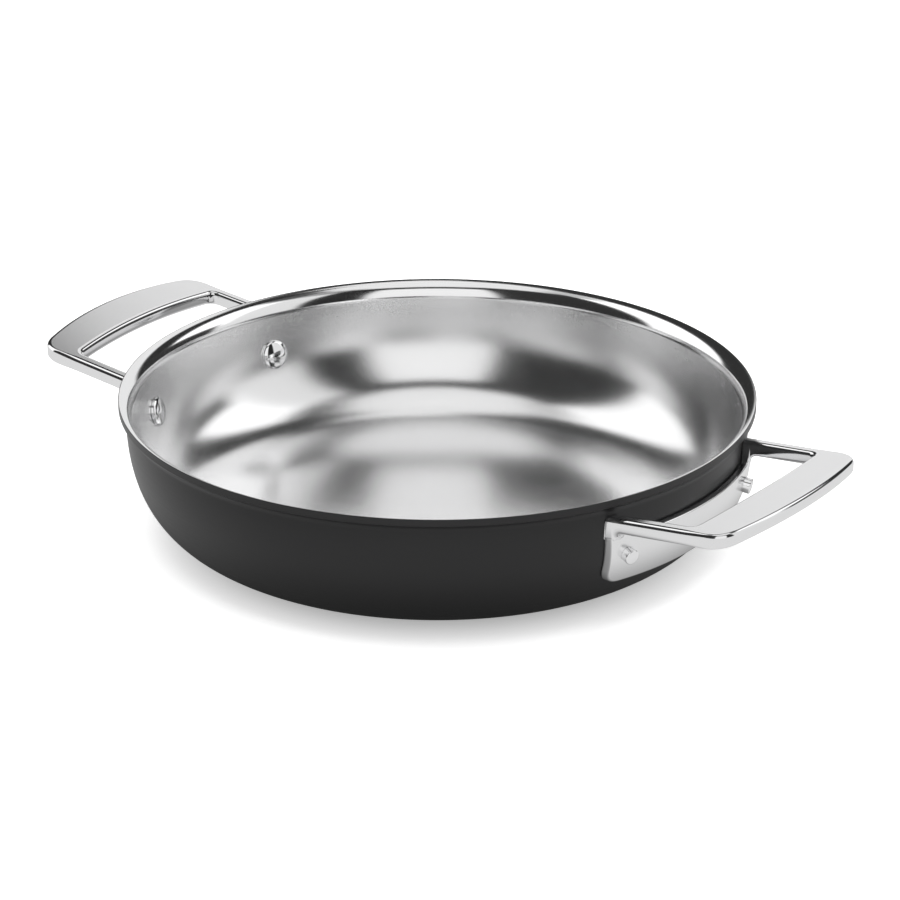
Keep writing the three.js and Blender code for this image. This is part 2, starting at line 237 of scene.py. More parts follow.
class PAN_PG_rivet(bpy.types.PropertyGroup):
    """Sizes and places of the rivets"""

    height: length("Height", "Where a rivet's axis crosses the outside of the wall", 0.037)
    turn: angle("Turn", "From the handle's centre line", 19.0)
    head: length("Head diameter", "Domed head, inside the bowl", 0.0133)
    head_edge: length("Head edge", "Upright edge of the head", 0.0006)
    head_dome: length("Head dome", "Height of the dome above its edge", 0.0020)
    shank: length("Shank diameter", "Through the wall and the bracket", 0.0052)
    tail: length("Tail diameter", "Upset end, on the bracket's face", 0.0068)
    tail_height: length("Tail height", "How far the tail stands out", 0.0035)
    tail_chamfer: length("Tail chamfer", "Broken edge of the tail", 0.0005)


class PAN_PG_finish(bpy.types.PropertyGroup):
    """Colours and roughness of the metals"""

    steel: colour("Steel", "Satin steel of the liner", (0.92, 0.92, 0.923))
    steel_satin: share("Liner satin", "Roughness of the liner's grain", 0.185)
    wall_satin: share("Wall satin", "Roughness of the grain at the top of the wall", 0.26)
    wall_low: length("Wall grain start", "Height at which the grain gets coarser", 0.022)
    wall_high: length("Wall grain end", "Height at which it is coarsest", 0.054)
    steel_polish: share("Lip polish", "Roughness of the polished lip", 0.11)
    handle: colour("Handle steel", "Cast steel of the handles", (0.88, 0.88, 0.885))
    handle_satin: share("Handle satin", "Roughness of the handle's faces", 0.24)
    handle_polish: share("Handle polish", "Roughness of the handle's rounded edges", 0.09)
    rivet: colour("Rivet steel", "Polished steel of the rivets", (0.9, 0.9, 0.905))
    rivet_polish: share("Rivet polish", "Roughness of the rivets", 0.06)
    core: colour("Core aluminium", "Aluminium between the two skins", (0.72, 0.73, 0.74))
    core_mill: share("Core mill finish", "Roughness of the core", 0.4)
    anodised: colour("Hard anodising", "Dark skin of the outside", (0.043, 0.043, 0.044))
    anodised_matte: share("Anodised matte", "Roughness of the outside", 0.36)
    anodised_gloss: share("Anodised gloss", "Strength of the outside's sheen", 0.35)


class PAN_PG_stage(bpy.types.PropertyGroup):
    """Camera, floor and light"""

    azimuth: angle("Azimuth", "Camera's turn about the pan", 36.027)
    elevation: angle("Elevation", "Camera's height above the horizon", 23.06)
    distance: length("Distance", "Camera to the point it looks at", 1.90815)
    aim_height: length("Aim height", "Height of the point it looks at", 0.030)
    lens: bpy.props.FloatProperty(
        name="Lens", description="Focal length", default=172.5, unit="CAMERA"
    )
    shift_x: bpy.props.FloatProperty(
        name="Shift X", description="Framing across", default=0.0141
    )
    shift_y: bpy.props.FloatProperty(
        name="Shift Y", description="Framing upwards", default=0.0120
    )
    floor: colour("Floor", "Pale floor", (0.85, 0.85, 0.85))
    floor_bounce: colour("Floor bounce", "Floor as it lights the pan from below", (0.05, 0.05, 0.05))
    # Painted shadow on the floor: a white emission that the camera sees, lower by the base than farther
    # out, so it paints shade round the pan's base and washes its real shadow out farther away
    floor_white_and_painted_shadow: levels(
        "Floor white", "White over the floor's shade, by the base and farther out", (0.34, 0.75)
    )
    painted_shadow_start: length("Shadow start", "Distance from the axis at which that white grows", 0.092)
    painted_shadow_end: length("Shadow end", "Distance from the axis at which it is full", 0.136)
    # Painted shade in reflections: metal sees the floor as an emission, dark by the base and pale
    # farther out, between these two distances from the axis
    floor_reflection_painted_shade: levels("Floor in reflections", "Brightness by the base and farther out", (0.06, 0.78))
    reflection_shade_start: length("Sheen start", "Distance from the axis at which reflections brighten", 0.108)
    reflection_shade_end: length("Sheen end", "Distance from the axis at which they are full", 0.175)
    ambient: share("Ambient", "Even light from all sides", 0.35, 4.0)
    softbox_power: share("Softbox", "Power of the overhead softbox in watts", 30.0, 2000.0)
    softbox_size: length("Softbox size", "Side of the overhead softbox", 1.8)
    softbox_height: length("Softbox height", "Height of the overhead softbox", 1.9)


# Shader expressions


class Socket:
    """An output socket in a node tree. Each operator on it adds one Math node."""

    def __init__(self, shader, socket):
        self.shader = shader
        self.socket = socket

    def math(self, operation, first, second):
        """One Math node on two values."""
        return self.shader.node("ShaderNodeMath", {"operation": operation}, {0: first, 1: second})

    def __add__(self, other):
        return self.math("ADD", self, other)

    def __radd__(self, other):
        return self.math("ADD", other, self)

    def __sub__(self, other):
        return self.math("SUBTRACT", self, other)

    def __rsub__(self, other):
        return self.math("SUBTRACT", other, self)

    def __mul__(self, other):
        return self.math("MULTIPLY", self, other)

    def __rmul__(self, other):
        return self.math("MULTIPLY", other, self)


class Shader:
    """The node tree of a material, a world or a lamp."""

    def __init__(self, owner):
        owner.use_nodes = True
        self.tree = owner.node_tree
        self.tree.nodes.clear()

    def node(self, kind, settings=None, sockets=None, output=0):
        """Adds a node, sets it up, then fills or links its sockets, and gives one of its outputs."""
        made = self.tree.nodes.new(kind)
        for key, value in (settings or {}).items():
            setattr(made, key, value)
        for key, value in (sockets or {}).items():
            if isinstance(value, Socket):
                self.tree.links.new(value.socket, made.inputs[key])
            else:
                made.inputs[key].default_value = value
        return Socket(self, made.outputs[output]) if made.outputs else None


def opaque(rgb):
    """A colour that lets nothing through."""
    return (*rgb, 1.0)


# Surfaces


def grid_index(grid):
    """The number of each point of a grid (rows, columns, 3)."""
    rows, columns = grid.shape[:2]
    return np.arange(rows * columns).reshape(rows, columns)


def grid_quads(index):
    """Quads between the neighbouring lines of a grid of point numbers."""
    corners = [index[:-1, :-1], index[:-1, 1:], index[1:, 1:], index[1:, :-1]]
    return np.stack(corners, axis=-1).reshape(-1, 4)


def close_ends(grid):
    """A tube's grid with one more row at each end, drawn in to the middle of the end."""
    caps = [np.broadcast_to(grid[end].mean(axis=0), grid[end].shape)[None] for end in (0, -1)]
    return np.concatenate([caps[0], grid, caps[1]])


def grid_shell(grid, polish=0.0):
    """Points, outward quads and polish of a grid whose last column joins its first."""
    index = grid_index(grid)
    quads = grid_quads(np.hstack([index, index[:, :1]]))
    points = grid.reshape(-1, 3)
    a, b, c, d = (points[quads[:, k]] for k in range(4))
    volume = np.einsum("ij,ij->", a, np.cross(b, c) + np.cross(c, d))
    if volume < 0:
        quads = quads[:, ::-1]
    return points, quads, np.broadcast_to(polish, index.shape).reshape(-1)


def make_piece(name, shells, material):
    """One object from one or more shells. It stands for the solid of the same name."""
    starts = np.cumsum([0] + [len(points) for points, _, _ in shells[:-1]])
    points = np.concatenate([shell[0] for shell in shells])
    quads = np.concatenate([shell[1] + start for shell, start in zip(shells, starts)])
    polish = np.concatenate([shell[2] for shell in shells])
    mesh = bpy.data.meshes.new(name)
    mesh.from_pydata(points.tolist(), [], quads.tolist())
    values = mesh.attributes.new("polish", "FLOAT", "POINT").data
    values.foreach_set("value", polish.astype(np.float32))
    merged = bmesh.new()
    merged.from_mesh(mesh)
    bmesh.ops.remove_doubles(merged, verts=merged.verts, dist=SAME_POINT)
    merged.to_mesh(mesh)
    merged.free()
    mesh.shade_smooth()
    mesh.set_sharp_from_angle(angle=SHARP_ANGLE)
    mesh.materials.append(material)
    piece = bpy.data.objects.new(name, mesh)
    bpy.context.collection.objects.link(piece)
    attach(piece, BODY)
    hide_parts(name)


def revolve(profile, steps):
    """A profile of radius and height, turned about Z: (r cos a, r sin a, z)."""
    a = np.linspace(0, 2 * math.pi, steps, endpoint=False)
    radius, height = profile[:, :1], profile[:, 1:]
    heights = np.broadcast_to(height, (len(profile), steps))
    return np.stack([radius * np.cos(a), radius * np.sin(a), heights], axis=-1)


def bezier(controls, t):
    """Points of a quadratic or cubic curve, by repeated linear blends of its control points."""
    line = [np.asarray(c, float)[None, :] for c in controls]
    t = np.asarray(t, float)[:, None]
    while len(line) > 1:
        line = [a + (b - a) * t for a, b in zip(line, line[1:])]
    return line[0]


def even_steps(line, count):
    """A polyline resampled to count points at equal distances along it."""
    run = np.concatenate([[0], np.cumsum(np.linalg.norm(np.diff(line, axis=0), axis=1))])
    at = np.linspace(0, run[-1], count)
    return np.stack([np.interp(at, run, line[:, k]) for k in range(line.shape[1])], axis=-1)


# Bowl profile. A depth is measured from the outside of the sheet towards its inside.


def sheet_depths(bowl):
    """Depths at which the core and the liner start, and the whole sheet's thickness."""
    core = bowl.shell + bowl.bond
    liner = core + bowl.core + bowl.bond
    return core, liner, liner + bowl.liner


def wall_end(bowl):
    """Radius and height at which the wall ends and the lip's bend starts, on the outside."""
    inner_bend = bowl.lip_bend + sheet_depths(bowl)[2]
    past_bend = bowl.lip_flare - bowl.lip_bend + inner_bend * math.cos(bowl.lip_angle)
    rise = inner_bend * math.sin(bowl.lip_angle) + past_bend / math.tan(bowl.lip_angle)
    return bowl.rim_radius - bowl.lip_flare, bowl.height - rise


def wall_line(bowl, depth, t):
    """The wall at a depth: a cubic curve from base to lip, moved along its inward normal."""
    radius, top = wall_end(bowl)
    lean = np.array([math.sin(bowl.wall_lean), math.cos(bowl.wall_lean)])
    end = np.array([radius, top])
    start = np.array([bowl.base_radius, 0.0])
    controls = [start, start + [bowl.corner_run, 0.0], end - bowl.wall_run * lean, end]
    slopes = [b - a for a, b in zip(controls, controls[1:])]
    along = bezier(slopes, t)
    along /= np.linalg.norm(along, axis=1, keepdims=True)
    inward = np.stack([-along[:, 1], along[:, 0]], axis=-1)
    return bezier(controls, t) + depth * inward


def bend_line(bowl, depth, turns):
    """The lip's bend at a depth: an arc about a point outside the wall."""
    radius, top = wall_end(bowl)
    arc = bowl.lip_bend + depth
    return np.stack(
        [radius + bowl.lip_bend - arc * np.cos(turns), top + arc * np.sin(turns)], axis=-1
    )


def bend_end(bowl, inset, depth):
    """How far the bend turns at a depth: it stops early where a short lip leaves no room for it."""
    room = (wall_end(bowl)[0] + bowl.lip_bend - bowl.rim_radius + inset) / (bowl.lip_bend + depth)
    return min(bowl.lip_angle, math.acos(max(-1.0, min(1.0, room))))


def lip_point(bowl, inset, depth):
    """The straight part of the lip, at a distance in from the upright cut edge."""
    start = bend_line(bowl, depth, np.array([bend_end(bowl, inset, depth)]))[0]
    radius = bowl.rim_radius - inset
    return np.array([[radius, start[1] + (radius - start[0]) / math.tan(bowl.lip_angle)]])


def skin(bowl, depth, inset):
    """The sheet at one depth, from the axis out to a distance in from the cut edge."""
    flat = np.linspace(0, bowl.base_radius, FLAT_STEPS, endpoint=False)
    floor = np.stack([flat, np.full(FLAT_STEPS, depth)], axis=-1)
    wall = wall_line(bowl, depth, np.linspace(0, 1, WALL_STEPS + 1))
    turns = np.linspace(0, bend_end(bowl, inset, depth), BEND_STEPS + 1)
    bend = bend_line(bowl, depth, turns[1:])
    return np.concatenate([floor, wall, bend, lip_point(bowl, inset, depth)])


def liner_profile(bowl):
    """Steel liner, whose lip ends at the shell's hem."""
    _, liner, sheet = sheet_depths(bowl)
    inset = bowl.edge_hem + bowl.bond
    return np.concatenate([skin(bowl, liner, inset), skin(bowl, sheet, inset)[::-1]])


def core_profile(bowl):
    """Core, closed in at the lip by the shell."""
    core, _, _ = sheet_depths(bowl)
    inset = bowl.edge_cover + bowl.bond
    return np.concatenate([skin(bowl, core, inset), skin(bowl, core + bowl.core, inset)[::-1]])


def shell_profile(bowl):
    """Shell, which carries on round the core's edge and ends in a hem round the liner's."""
    _, liner, sheet = sheet_depths(bowl)
    edge = [
        lip_point(bowl, 0.0, bowl.edge_chamfer),
        lip_point(bowl, 0.0, sheet - bowl.edge_chamfer),
        lip_point(bowl, bowl.edge_chamfer, sheet),
        lip_point(bowl, bowl.edge_hem, sheet),
        lip_point(bowl, bowl.edge_hem, liner - bowl.bond),
        lip_point(bowl, bowl.edge_cover, liner - bowl.bond),
    ]
    return np.concatenate(
        [skin(bowl, 0.0, bowl.edge_chamfer), *edge, skin(bowl, bowl.shell, bowl.edge_cover)[::-1]]
    )


def wall_radius_at(bowl, height, offset=0.0):
    """Radius of the wall's outside at heights, moved outwards by a distance square to the wall."""
    line = wall_line(bowl, -offset, np.linspace(0, 1, WALL_SEARCH_POINTS))
    return np.interp(height, line[:, 1], line[:, 0])


# Handle. It is worked out on the +X side.


def loop_edges(bowl, handle):
    """Outer and inner edge of the loop seen from above, at matching stations from root to root."""
    wall_radius, _ = wall_end(bowl)
    corner_x = math.sqrt(handle.reach**2 - handle.corner_half**2)
    taper = (handle.corner_half - handle.root_half) / (corner_x - wall_radius)
    inner_centre = handle.reach - handle.grip_width - handle.inner_curve

    def arm_y(x):
        """Outside of an arm: a straight line with a slight taper."""
        return handle.root_half + taper * (x - wall_radius)

    def grip_x(y):
        """Outer edge of the grip: an arc about the pan's axis."""
        return np.sqrt(handle.reach**2 - y**2)

    def inner_x(y):
        """Inner edge of the grip: a flatter arc."""
        return inner_centre + np.sqrt(handle.inner_curve**2 - y**2)

    inner_y = arm_y(inner_x(handle.corner_half)) - handle.arm_width
    inner_turn = inner_y - handle.inner_corner
    outer_turn = handle.corner_half - handle.outer_corner
    arm_end = inner_x(inner_y) - handle.inner_corner
    root_x = math.sqrt((wall_radius - handle.arm_width / 2) ** 2 - handle.root_half**2)

    root_end = root_x + ARM_ROOT_RUN
    near_x = np.linspace(root_x, root_end, ARM_ROOT_STEPS, endpoint=False)
    arm_x = np.concatenate([near_x, np.linspace(root_end, arm_end, ARM_STEPS, endpoint=False)])
    arm_outer = np.stack([arm_x, arm_y(arm_x)], axis=-1)
    arm_inner = arm_outer - [0.0, handle.arm_width]

    t = np.linspace(0, 1, LOOP_CORNER_POINTS)
    start_x = corner_x - handle.outer_corner
    outer_tip = (corner_x, handle.corner_half)
    outer_end = (grip_x(outer_turn), outer_turn)
    outer_bend = bezier([(start_x, arm_y(start_x)), outer_tip, outer_end], t)
    outer_bend = even_steps(np.concatenate([[(arm_end, arm_y(arm_end))], outer_bend]), len(t))
    inner_start = (arm_end, arm_y(arm_end) - handle.arm_width)
    inner_tip = (inner_x(inner_y), inner_y)
    inner_end = (inner_x(inner_turn), inner_turn)
    inner_bend = bezier([inner_start, inner_tip, inner_end], t)

    down = np.linspace(1, 0, GRIP_STEPS + 1)[1:]
    grip_outer = np.stack([grip_x(outer_turn * down), outer_turn * down], axis=-1)
    grip_inner = np.stack([inner_x(inner_turn * down), inner_turn * down], axis=-1)

    outer = np.concatenate([arm_outer, outer_bend, grip_outer])
    inner = np.concatenate([arm_inner, inner_bend, grip_inner])
    return tuple(np.concatenate([half, half[-2::-1] * [1.0, -1.0]]) for half in (outer, inner))


def rounded_bar(flats):
    """Section of a bar with four rounded edges, for any width and height.

    Each point has a side, from -1 to 1 across the flat part, a level of 1 on top and -1 below, the
    direction in which its edge's rounding moves it, and a polish of 1 on the rounded edges.
    """
    quarter = np.linspace(0, math.pi / 2, FILLET_STEPS + 1)
    arcs = [
        (-1.0, 1.0, math.pi - quarter),
        (1.0, 1.0, math.pi / 2 - quarter),
        (1.0, -1.0, -quarter),
        (-1.0, -1.0, -math.pi / 2 - quarter),
    ]
    side, level, turn, polish = [], [], [], []
    for corner, (at, height, turns) in enumerate(arcs):
        side.append(np.full(len(turns), at))
        level.append(np.full(len(turns), height))
        turn.append(turns)
        polish.append(np.ones(len(turns)))
        if corner % 2 == 0:
            across = flats if height > 0 else -flats
            side.append(across)
            level.append(np.full(len(flats), height))
            turn.append(np.full(len(flats), turns[-1]))
            polish.append(np.zeros(len(flats)))
    joined = [np.concatenate(part) for part in (side, level, turn, polish)]
    return joined[0], joined[1], np.cos(joined[2]), np.sin(joined[2]), joined[3]


def loop_top(bowl, handle, x, y):
    """Height of the loop's top face: it climbs outwards, and its middle is crowned."""
    root_x = math.sqrt(wall_end(bowl)[0] ** 2 - handle.root_half**2)
    crown = handle.crown * (1 - (y / handle.corner_half) ** 2)
    return handle.root_top + handle.slope * (x - root_x) + crown


def arm_flare(bowl, handle, x, y):
    """How much deeper an arm gets as it nears the bracket's face: a quarter round."""
    under = handle.root_top - handle.thickness
    face = wall_radius_at(bowl, under, handle.seat_gap + handle.plate)
    off = np.clip(np.hypot(x, y) - face, 0, handle.arm_fillet)
    return handle.arm_fillet - np.sqrt(handle.arm_fillet**2 - (handle.arm_fillet - off) ** 2)


def handle_loop(bowl, handle):
    """The loop: a rounded bar carried along a U, between its outer and inner edges."""
    outer, inner = loop_edges(bowl, handle)
    side, level, across, rise, polish = rounded_bar(LOOP_FLATS)
    width = np.linalg.norm(inner - outer, axis=1)[:, None]
    middle = (outer + inner) / 2
    inward = (inner - outer) / width
    reach = side * (width / 2 - handle.rounding) + handle.rounding * across
    flat = middle[:, None, :] + reach[:, :, None] * inward[:, None, :]
    x, y = flat[:, :, 0], flat[:, :, 1]
    depth = handle.thickness + arm_flare(bowl, handle, x, y)
    drop = np.where(level > 0, -handle.rounding, handle.rounding - depth) + handle.rounding * rise
    z = loop_top(bowl, handle, x, y) + drop
    wall_x = np.sqrt(wall_radius_at(bowl, z, handle.seat_gap) ** 2 - y**2)
    grid = np.stack([np.maximum(x, wall_x), y, z], axis=-1)
    return grid_shell(close_ends(grid), polish[None, :])


def bracket_edge(handle):
    """Lower edge of the bracket, seen from outside, from one side's top to the other's."""
    rise = (handle.root_half - handle.plate_half) / (handle.plate_top - handle.plate_bottom)
    corner_y = handle.plate_half + rise * handle.plate_corner
    corner_z = handle.plate_bottom + handle.plate_corner
    start_y = handle.plate_half - handle.plate_corner
    t = np.linspace(0, 1, PLATE_SIDE_POINTS)
    side = bezier([(handle.root_half, handle.plate_top), (corner_y, corner_z)], t)
    corner_tip = (handle.plate_half, handle.plate_bottom)
    corner = bezier([(corner_y, corner_z), corner_tip, (start_y, handle.plate_bottom)], t)
    bottom_y = np.linspace(start_y, 0, PLATE_BOTTOM_POINTS)
    bottom = np.stack([bottom_y, np.full_like(bottom_y, handle.plate_bottom)], axis=-1)
    half = np.concatenate([side, corner[1:], bottom[1:]])
    return np.concatenate([half, half[-2::-1] * [-1.0, 1.0]])


def bracket_top(handle, y):
    """Upper edge of the bracket: level between the arms, and swept up into each of them."""
    neck = handle.root_half - handle.arm_width
    horn = handle.root_top - handle.rounding
    t = np.sqrt(np.clip((neck - np.abs(y)) / handle.plate_neck, 0, 1))
    return handle.plate_top + (horn - handle.plate_top) * (1 - t) ** 2


def handle_bracket(bowl, handle):
    """The bracket: a plate with rounded edges that follows the wall, station by station along Y."""
    low = bracket_edge(handle)
    high = bracket_top(handle, low[:, 0])
    edge = handle.plate_edge
    side, level, across, rise, polish = rounded_bar(PLATE_FLATS)
    middle = ((high + low[:, 1]) / 2)[:, None]
    half = np.maximum((high - low[:, 1]) / 2, edge)[:, None]
    z = middle + side * (half - edge) + edge * across
    off = np.where(level > 0, handle.plate - edge, edge) + edge * rise
    near = wall_radius_at(bowl, z, handle.seat_gap)
    far = wall_radius_at(bowl, z, handle.seat_gap + handle.plate)
    radius = near + (far - near) * off / handle.plate
    y = np.broadcast_to(low[:, :1], z.shape)
    grid = np.stack([np.sqrt(radius**2 - y**2), y, z], axis=-1)
    return grid_shell(close_ends(grid), polish[None, :])


def turned_half(shell):
    """A shell turned half round about Z."""
    points, quads, polish = shell
    return points * [-1.0, -1.0, 1.0], quads, polish


# Rivet


def rivet_pose(bowl, rivet, turn):
    """Frame of a rivet: its origin on the outside of the wall, its Z axis squarely out of the wall."""
    line = wall_line(bowl, 0.0, np.linspace(0, 1, RIVET_SEARCH_POINTS))
    at = np.searchsorted(line[:, 1], rivet.height)
    along = Vector((*(line[at] - line[at - 1]), 0.0)).normalized()
    tilt = math.atan2(along.y, -along.x)
    foot = Matrix.Translation((line[at, 0], 0.0, line[at, 1]))
    return Matrix.Rotation(turn, 4, "Z") @ foot @ Matrix.Rotation(tilt, 4, "Y")


def head_stand_off(bowl, rivet):
    """How far the wall's hollow face stands in from a flat head's rim."""
    sheet = sheet_depths(bowl)[2]
    a = np.linspace(0, 2 * math.pi, RIVET_STEPS, endpoint=False)
    rim = np.stack([np.cos(a), np.sin(a), np.zeros_like(a)], axis=-1) * rivet.head / 2
    rim[:, 2] = -sheet
    pose = np.array(rivet_pose(bowl, rivet, 0.0))
    place = rim @ pose[:3, :3].T + pose[:3, 3]
    inside = wall_radius_at(bowl, place[:, 2], -sheet)
    return float(np.max(np.hypot(place[:, 0], place[:, 1]) - inside))


def rivet_profile(bowl, handle, rivet):
    """Domed head inside the wall, shank, and upset tail on the bracket."""
    seat = sheet_depths(bowl)[2] + head_stand_off(bowl, rivet)
    clamp = handle.seat_gap + handle.plate
    head, shank, tail = rivet.head / 2, rivet.shank / 2, rivet.tail / 2
    a = np.linspace(-math.pi / 2, 0, DOME_POINTS)
    dome = np.stack([head * np.cos(a), -seat - rivet.head_edge + rivet.head_dome * np.sin(a)], axis=-1)
    dome[0, 0] = 0.0
    end = clamp + rivet.tail_height
    b = np.linspace(0, math.pi / 2, TAIL_EDGE_POINTS)
    round_edge = np.stack(
        [
            tail - rivet.tail_chamfer * (1 - np.cos(b)),
            end - rivet.tail_chamfer * (1 - np.sin(b)),
        ],
        axis=-1,
    )
    straight = [(head, -seat), (shank, -seat), (shank, clamp), (tail, clamp)]
    return np.concatenate([dome, straight, round_edge, [(0.0, end)]])


# Finishes


def smooth_level(shader, value, start, end, first, last):
    """A level that goes smoothly from first to last as a value goes from start to end."""
    return shader.node(
        "ShaderNodeMapRange",
        {"interpolation_type": "SMOOTHSTEP"},
        {"Value": value, "From Min": start, "From Max": end, "To Min": first, "To Max": last},
    )


def noise(shader, place, scale, detail, decay=NOISE_DECAY):
    """An even noise in space. Each layer of its detail is weaker than the last by the decay."""
    return shader.node(
        "ShaderNodeTexNoise",
        {},
        {"Vector": place, "Scale": scale, "Detail": detail, "Roughness": decay},
    )


def swing(pattern, amount):
    """A noise's swing about its middle value."""
    return amount * (pattern - NOISE_MIDDLE)


def height_of(shader, place):
    """Height above the table."""
    return shader.node("ShaderNodeSeparateXYZ", {}, {"Vector": place}, output="Z")


def metal_material(name, rgb, satin, polish, grain, wall=None):
    """Bare metal with a fine even grain on its faces, and bright where its polish is 1.

    grain is its scale and its depth. wall is the two heights between which the grain gets coarser, and
    the roughness that it reaches.
    """
    material = bpy.data.materials.new(name)
    shader = Shader(material)
    place = shader.node("ShaderNodeTexCoord", output="Object")
    bright = shader.node("ShaderNodeAttribute", {"attribute_name": "polish"}, output="Fac")
    scale, depth = grain
    specks = noise(shader, place, scale, GRAIN_DETAIL, GRAIN_DECAY)
    cloud = noise(shader, place, CLOUD_SCALE, CLOUD_DETAIL)
    if wall:
        low, high, coarse = wall
        satin = smooth_level(shader, height_of(shader, place), low, high, satin, coarse)
    rough = satin + swing(specks, GRAIN_SWING) + swing(cloud, CLOUD_SWING)
    dull = 1.0 - bright
    bump = shader.node(
        "ShaderNodeBump", {}, {"Strength": 1.0, "Distance": depth, "Height": specks * dull}
    )
    metal = shader.node(
        "ShaderNodeBsdfPrincipled",
        {},
        {
            "Base Color": opaque(rgb),
            "Metallic": 1.0,
            "Roughness": rough * dull + polish * bright,
            "Normal": bump,
        },
    )
    shader.node("ShaderNodeOutputMaterial", {}, {"Surface": metal})
    return material


def anodised_material(finish):
    """Hard-anodised aluminium: dark, matte, with faint rings left by turning."""
    material = bpy.data.materials.new("hard_anodised")
    shader = Shader(material)
    place = shader.node("ShaderNodeTexCoord", output="Object")
    rings = shader.node(
        "ShaderNodeTexNoise",
        {"noise_dimensions": "1D"},
        {"W": height_of(shader, place), "Scale": RING_SCALE, "Detail": RING_DETAIL},
    )
    pores = noise(shader, place, PORE_SCALE, PORE_DETAIL)
    relief = rings + PORE_RELIEF * pores
    bump = shader.node(
        "ShaderNodeBump", {}, {"Strength": 1.0, "Distance": ANODISED_DEPTH, "Height": relief}
    )
    dark_skin = shader.node(
        "ShaderNodeBsdfPrincipled",
        {},
        {
            "Base Color": opaque(finish.anodised),
            "Metallic": 0.0,
            "Specular IOR Level": finish.anodised_gloss,
            "Roughness": finish.anodised_matte + swing(rings, RING_SWING) + swing(pores, PORE_SWING),
            "Normal": bump,
        },
    )
    shader.node("ShaderNodeOutputMaterial", {}, {"Surface": dark_skin})
    return material


def light_paths(shader):
    """1 where the camera looks straight at a surface, and 1 where metal or glass shows it."""
    camera = shader.node("ShaderNodeLightPath", output="Is Camera Ray")
    glossy = shader.node("ShaderNodeLightPath", output="Is Glossy Ray")
    through = shader.node("ShaderNodeLightPath", output="Is Transmission Ray")
    return camera, glossy + through


def floor_material(stage):
    """A pale floor that the camera sees as white: its lit shade plus a painted white emission, lower by
    the base, which paints shade round the base and keeps the pan's shadow close to it.

    Metal shows it as a painted emission, with painted shade by the base and pale farther out, and
    little of its light reaches the pan.
    """
    material = bpy.data.materials.new("floor")
    shader = Shader(material)
    camera, mirror = light_paths(shader)
    matte = shader.node("ShaderNodeBsdfDiffuse", {}, {"Color": opaque(stage.floor)})
    bounce = shader.node("ShaderNodeBsdfDiffuse", {}, {"Color": opaque(stage.floor_bounce)})
    place = shader.node("ShaderNodeTexCoord", output="Object")
    from_axis = shader.node("ShaderNodeVectorMath", {"operation": "LENGTH"}, {0: place}, output="Value")
    # Painted shadow: the white emission goes from its near level by the base to its far level farther
    # out
    glow = smooth_level(shader, from_axis, stage.painted_shadow_start, stage.painted_shadow_end, *stage.floor_white_and_painted_shadow)
    # Painted shade in reflections: what metal sees of the floor goes from dark by the base to pale
    # farther out
    sheen = smooth_level(shader, from_axis, stage.reflection_shade_start, stage.reflection_shade_end, *stage.floor_reflection_painted_shade)
    white = shader.node("ShaderNodeEmission", {}, {"Color": glow, "Strength": 1.0})
    mirrored = shader.node("ShaderNodeEmission", {}, {"Color": sheen, "Strength": 1.0})
    lit_with_painted_shadow = shader.node("ShaderNodeAddShader", {}, {0: matte, 1: white})
    unseen = shader.node("ShaderNodeMixShader", {}, {"Fac": mirror, 1: bounce, 2: mirrored})
    seen = shader.node("ShaderNodeMixShader", {}, {"Fac": camera, 1: unseen, 2: lit_with_painted_shadow})
    shader.node("ShaderNodeOutputMaterial", {}, {"Surface": seen})
    return material


def card_material(name, level):
    """An even card of one brightness, clear where its cover is 0."""
    material = bpy.data.materials.new(name)
    shader = Shader(material)
    cover = shader.node("ShaderNodeAttribute", {"attribute_name": "cover"}, output="Fac")
    clear = shader.node("ShaderNodeBsdfTransparent")
    glow = shader.node("ShaderNodeEmission", {}, {"Strength": level})
    seen = shader.node("ShaderNodeMixShader", {}, {"Fac": cover, 1: clear, 2: glow})
    shader.node("ShaderNodeOutputMaterial", {}, {"Surface": seen})
    return material


# Stage


def stage_sheet(name, grid, material):
    """A stage object from an open grid."""
    quads = grid_quads(grid_index(grid))
    mesh = bpy.data.meshes.new(name)
    mesh.from_pydata(grid.reshape(-1, 3).tolist(), [], quads.tolist())
    mesh.materials.append(material)
    made = bpy.data.objects.new(name, mesh)
    bpy.context.collection.objects.link(made)
    return made


def studio_card(name, turns, rises, level, distance, camera_turn):
    """A soft-edged card on a dome: (cos e cos a, cos e sin a, sin e) times its distance.

    Its cover falls off smoothly from 1 to 0 over the last degrees before its edges, apart from a lower
    edge that stands on the floor.
    """
    a = np.linspace(*turns, CARD_POINTS)[None, :]
    e = np.linspace(*rises, CARD_POINTS)[:, None]
    foot = CARD_EDGE if rises[0] == 0 else 0.0
    from_sides = np.minimum(a - turns[0], turns[1] - a)
    from_ends = np.minimum(e - rises[0] + foot, rises[1] - e)
    edge = np.clip(np.minimum(from_sides, from_ends) / CARD_EDGE, 0, 1)
    cover = edge * edge * (3 - 2 * edge)
    turn, rise = np.radians(a) + camera_turn, np.radians(e)
    place = [np.cos(rise) * np.cos(turn), np.cos(rise) * np.sin(turn), np.sin(rise) + 0 * turn]
    card = stage_sheet(name, distance * np.stack(place, axis=-1), card_material(name, level))
    values = card.data.attributes.new("cover", "FLOAT", "POINT").data
    values.foreach_set("value", cover.reshape(-1).astype(np.float32))
    card.visible_camera = False
    card.visible_diffuse = False
    card.visible_shadow = False


